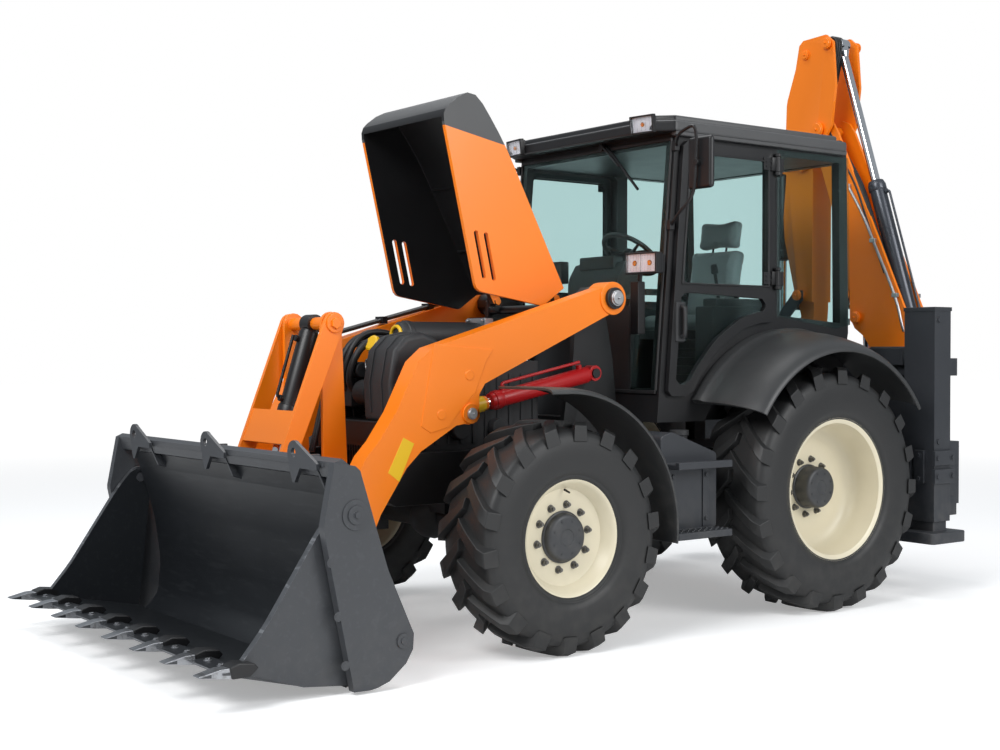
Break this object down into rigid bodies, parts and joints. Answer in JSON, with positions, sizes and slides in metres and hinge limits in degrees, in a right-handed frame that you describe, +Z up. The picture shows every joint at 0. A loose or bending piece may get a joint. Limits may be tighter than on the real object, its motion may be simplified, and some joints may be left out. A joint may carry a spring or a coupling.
{
  "type": "backhoe loader",
  "caption": "Backhoe loader with a clam bucket on front arms, glazed cab, raised hood, stabiliser legs and a side-shifting digging arm folded behind.",
  "frame": {"origin": "middle of the ground footprint, on the ground under the machine", "axes": "+X to the machine's left, +Y to its rear where the digging arm is, +Z up"},
  "size_m": [2.5, 5.87, 3.767],
  "materials": {
    "orange_paint": "satin",
    "charcoal_paint": "satin",
    "black_paint": "satin",
    "rim_cream": "satin",
    "red_paint": "satin",
    "tyre_rubber": "matte",
    "moulded_plastic": "matte",
    "chrome_rod": "polished",
    "cab_glass": "tinted clear",
    "seat_cloth": "padded"
  },
  "bodies": {
    "machine": {"chassis_frame": "black_paint", "engine_block": "black_paint", "radiator": "black_paint", "front_axle": "black_paint", "rear_axle": "black_paint", "loader_tower": "black_paint", "cab_frame": "black_paint", "cab_roof": "charcoal_paint", "windscreen": "cab_glass", "rear_glass": "cab_glass", "dashboard": "moulded_plastic", "seat": "seat_cloth", "fender_rear_left": "moulded_plastic", "fender_rear_right": "moulded_plastic", "fender_front_left": "moulded_plastic", "fender_front_right": "moulded_plastic", "step_left": "moulded_plastic", "step_right": "moulded_plastic", "rear_frame": "charcoal_paint"},
    "hood": {"hood": "orange_paint"},
    "door_left": {"door_left": "black_paint", "door_glass_left": "cab_glass"},
    "door_right": {"door_right": "black_paint", "door_glass_right": "cab_glass"},
    "knuckle_left": {"knuckle_left": "black_paint"},
    "knuckle_right": {"knuckle_right": "black_paint"},
    "front_wheel_left": {"tyre_front_left": "tyre_rubber", "rim_front_left": "rim_cream"},
    "front_wheel_right": {"tyre_front_right": "tyre_rubber", "rim_front_right": "rim_cream"},
    "rear_wheel_left": {"tyre_rear_left": "tyre_rubber", "rim_rear_left": "rim_cream"},
    "rear_wheel_right": {"tyre_rear_right": "tyre_rubber", "rim_rear_right": "rim_cream"},
    "arms": {"loader_arms": "orange_paint"},
    "lift_barrel_left": {"lift_barrel_left": "red_paint"},
    "lift_barrel_right": {"lift_barrel_right": "red_paint"},
    "lift_rod_left": {"lift_rod_left": "chrome_rod"},
    "lift_rod_right": {"lift_rod_right": "chrome_rod"},
    "bucket": {"bucket_back": "charcoal_paint"},
    "jaw": {"bucket_jaw": "charcoal_paint"},
    "tilt_lever": {"tilt_lever": "orange_paint"},
    "tilt_link": {"tilt_link": "orange_paint"},
    "tilt_barrel": {"tilt_barrel": "black_paint"},
    "tilt_rod": {"tilt_rod": "chrome_rod"},
    "carriage": {"carriage": "charcoal_paint"},
    "kingpost": {"kingpost": "charcoal_paint"},
    "boom": {"boom": "orange_paint"},
    "boom_barrel": {"boom_barrel": "black_paint"},
    "boom_rod": {"boom_rod": "chrome_rod"},
    "dipper": {"dipper": "orange_paint"},
    "dipper_barrel": {"dipper_barrel": "black_paint"},
    "dipper_rod": {"dipper_rod": "chrome_rod"},
    "dig_bucket": {"dig_bucket": "charcoal_paint"},
    "curl_barrel": {"curl_barrel": "black_paint"},
    "curl_rod": {"curl_rod": "chrome_rod"},
    "bell_lever": {"bell_lever": "charcoal_paint"},
    "curl_link": {"curl_link": "charcoal_paint"},
    "stabilizer_left": {"stabilizer_left": "charcoal_paint"},
    "stabilizer_right": {"stabilizer_right": "charcoal_paint"}
  },
  "joints": [
    {"name": "hood_hinge", "type": "hinge", "parent": "machine", "child": "hood", "pos_m": [0, -0.314, 1.823], "axis": [1, 0, 0], "range_deg": [0, 68]},
    {"name": "door_left_hinge", "type": "hinge", "parent": "machine", "child": "door_left", "pos_m": [0.77, 1.017, 2.3], "axis": [0, 0, 1], "range_deg": [0, 80]},
    {"name": "door_right_hinge", "type": "hinge", "parent": "machine", "child": "door_right", "pos_m": [-0.77, 1.017, 2.3], "axis": [0, 0, -1], "range_deg": [0, 80]},
    {"name": "steering", "type": "hinge", "parent": "machine", "child": "knuckle_left", "pos_m": [0.79, -0.895, 0.588], "axis": [0, 0, 1], "range_deg": [-30, 30]},
    {"name": "steering_right", "type": "hinge", "parent": "machine", "child": "knuckle_right", "pos_m": [-0.79, -0.895, 0.588], "axis": [0, 0, 1], "range_deg": [-30, 30]},
    {"name": "front_wheel_left_spin", "type": "hinge", "parent": "knuckle_left", "child": "front_wheel_left", "pos_m": [1, -0.895, 0.588], "axis": [1, 0, 0], "continuous": true},
    {"name": "front_wheel_right_spin", "type": "hinge", "parent": "knuckle_right", "child": "front_wheel_right", "pos_m": [-1, -0.895, 0.588], "axis": [1, 0, 0], "continuous": true},
    {"name": "rear_wheel_left_spin", "type": "hinge", "parent": "machine", "child": "rear_wheel_left", "pos_m": [0.935, 1.135, 0.717], "axis": [1, 0, 0], "continuous": true},
    {"name": "rear_wheel_right_spin", "type": "hinge", "parent": "machine", "child": "rear_wheel_right", "pos_m": [-0.935, 1.135, 0.717], "axis": [1, 0, 0], "continuous": true},
    {"name": "arms_pivot", "type": "hinge", "parent": "machine", "child": "arms", "pos_m": [0, -0.19, 1.817], "axis": [-1, 0, 0], "range_deg": [0, 80]},
    {"name": "lift_barrel_left_pivot", "type": "hinge", "parent": "machine", "child": "lift_barrel_left", "pos_m": [0.487, -0.195, 1.4], "axis": [-1, 0, 0], "range_deg": [0, 70.3]},
    {"name": "lift_rod_left_slide", "type": "slide", "parent": "lift_barrel_left", "child": "lift_rod_left", "axis": [0, -0.9796, -0.2012], "range_m": [0, 0.4958]},
    {"name": "lift_barrel_right_pivot", "type": "hinge", "parent": "machine", "child": "lift_barrel_right", "pos_m": [-0.487, -0.195, 1.4], "axis": [-1, 0, 0], "range_deg": [0, 70.3]},
    {"name": "lift_rod_right_slide", "type": "slide", "parent": "lift_barrel_right", "child": "lift_rod_right", "axis": [0, -0.9796, -0.2012], "range_m": [0, 0.4958]},
    {"name": "bucket_pivot", "type": "hinge", "parent": "arms", "child": "bucket", "pos_m": [0, -1.905, 0.33], "axis": [1, 0, 0], "range_deg": [0, 55]},
    {"name": "tilt_lever_pivot", "type": "hinge", "parent": "arms", "child": "tilt_lever", "pos_m": [0, -1.695, 0.86], "axis": [1, 0, 0], "range_deg": [0, 46.59]},
    {"name": "tilt_link_pivot", "type": "hinge", "parent": "tilt_lever", "child": "tilt_link", "pos_m": [0, -1.721, 1.668], "axis": [1, 0, 0], "range_deg": [-30.17, 0]},
    {"name": "tilt_barrel_pivot", "type": "hinge", "parent": "tilt_lever", "child": "tilt_barrel", "pos_m": [0, -1.721, 1.668], "axis": [1, 0, 0], "range_deg": [0, 2.73]},
    {"name": "tilt_rod_slide", "type": "slide", "parent": "tilt_barrel", "child": "tilt_rod", "axis": [0, -0.2917, -0.9565], "range_m": [-0.21082, 0]},
    {"name": "jaw_pivot", "type": "hinge", "parent": "bucket", "child": "jaw", "pos_m": [0, -2.198, 0.801], "axis": [-1, 0, 0], "range_deg": [0, 75]},
    {"name": "carriage_slide", "type": "slide", "parent": "machine", "child": "carriage", "axis": [-1, 0, 0], "range_m": [0, 1.24]},
    {"name": "slew", "type": "hinge", "parent": "carriage", "child": "kingpost", "pos_m": [0.62, 2.635, 0.84], "axis": [0, 0, -1], "range_deg": [0, 180]},
    {"name": "boom_pivot", "type": "hinge", "parent": "kingpost", "child": "boom", "pos_m": [0.4, 2.635, 0.72], "axis": [0, -1, 0], "range_deg": [0, 70]},
    {"name": "boom_barrel_pivot", "type": "hinge", "parent": "kingpost", "child": "boom_barrel", "pos_m": [0.2, 2.635, 0.44], "axis": [0, -1, 0], "range_deg": [0, 63.42]},
    {"name": "boom_rod_slide", "type": "slide", "parent": "boom_barrel", "child": "boom_rod", "axis": [-0.0605, 0, 0.9982], "range_m": [-0.3732, 0]},
    {"name": "dipper_pivot", "type": "hinge", "parent": "boom", "child": "dipper", "pos_m": [-0.2, 2.635, 3.1], "axis": [0, 1, 0], "range_deg": [0, 105]},
    {"name": "dipper_barrel_pivot", "type": "hinge", "parent": "boom", "child": "dipper_barrel", "pos_m": [0.56, 2.635, 1.535], "axis": [0, 1, 0], "range_deg": [0, 8.77]},
    {"name": "dipper_rod_slide", "type": "slide", "parent": "dipper_barrel", "child": "dipper_rod", "axis": [-0.2989, 0, 0.9543], "range_m": [-0.92298, 0]},
    {"name": "dig_bucket_pivot", "type": "hinge", "parent": "dipper", "child": "dig_bucket", "pos_m": [-0.36, 2.635, 1.62], "axis": [0, 1, 0], "range_deg": [0, 100]},
    {"name": "bell_lever_pivot", "type": "hinge", "parent": "dipper", "child": "bell_lever", "pos_m": [-0.39, 2.635, 1.93], "axis": [0, 1, 0], "range_deg": [0, 59.41]},
    {"name": "curl_link_pivot", "type": "hinge", "parent": "bell_lever", "child": "curl_link", "pos_m": [-0.577, 2.635, 1.735], "axis": [0, 1, 0], "range_deg": [-65.49, 0]},
    {"name": "curl_barrel_pivot", "type": "hinge", "parent": "dipper", "child": "curl_barrel", "pos_m": [-0.655, 2.635, 2.9], "axis": [0, 1, 0], "range_deg": [0, 7.48]},
    {"name": "curl_rod_slide", "type": "slide", "parent": "curl_barrel", "child": "curl_rod", "axis": [-0.0103, 0, -0.9999], "range_m": [-0.37201, 0]},
    {"name": "stabilizer_left_slide", "type": "slide", "parent": "machine", "child": "stabilizer_left", "axis": [0, 0, -1], "range_m": [0, 0.325]},
    {"name": "stabilizer_right_slide", "type": "slide", "parent": "machine", "child": "stabilizer_right", "axis": [0, 0, -1], "range_m": [0, 0.325]}
  ],
  "couplings": [
    {"joint": "steering_right", "follows": "steering", "ratio": 1},
    {"joint": "lift_barrel_left_pivot", "follows": "arms_pivot", "ratio": 0.87879},
    {"joint": "lift_rod_left_slide", "follows": "arms_pivot", "m_per_rad": 0.35509},
    {"joint": "lift_barrel_right_pivot", "follows": "arms_pivot", "ratio": 0.87879},
    {"joint": "lift_rod_right_slide", "follows": "arms_pivot", "m_per_rad": 0.35509},
    {"joint": "tilt_lever_pivot", "follows": "bucket_pivot", "ratio": 0.84702},
    {"joint": "tilt_link_pivot", "follows": "bucket_pivot", "ratio": -0.54852},
    {"joint": "tilt_barrel_pivot", "follows": "bucket_pivot", "ratio": 0.0497},
    {"joint": "tilt_rod_slide", "follows": "bucket_pivot", "m_per_rad": -0.21962},
    {"joint": "boom_barrel_pivot", "follows": "boom_pivot", "ratio": 0.90601},
    {"joint": "boom_rod_slide", "follows": "boom_pivot", "m_per_rad": -0.30546},
    {"joint": "dipper_barrel_pivot", "follows": "dipper_pivot", "ratio": 0.08352},
    {"joint": "dipper_rod_slide", "follows": "dipper_pivot", "m_per_rad": -0.50365},
    {"joint": "bell_lever_pivot", "follows": "dig_bucket_pivot", "ratio": 0.59406},
    {"joint": "curl_link_pivot", "follows": "dig_bucket_pivot", "ratio": -0.65494},
    {"joint": "curl_barrel_pivot", "follows": "dig_bucket_pivot", "ratio": 0.07479},
    {"joint": "curl_rod_slide", "follows": "dig_bucket_pivot", "m_per_rad": -0.21315}
  ]
}
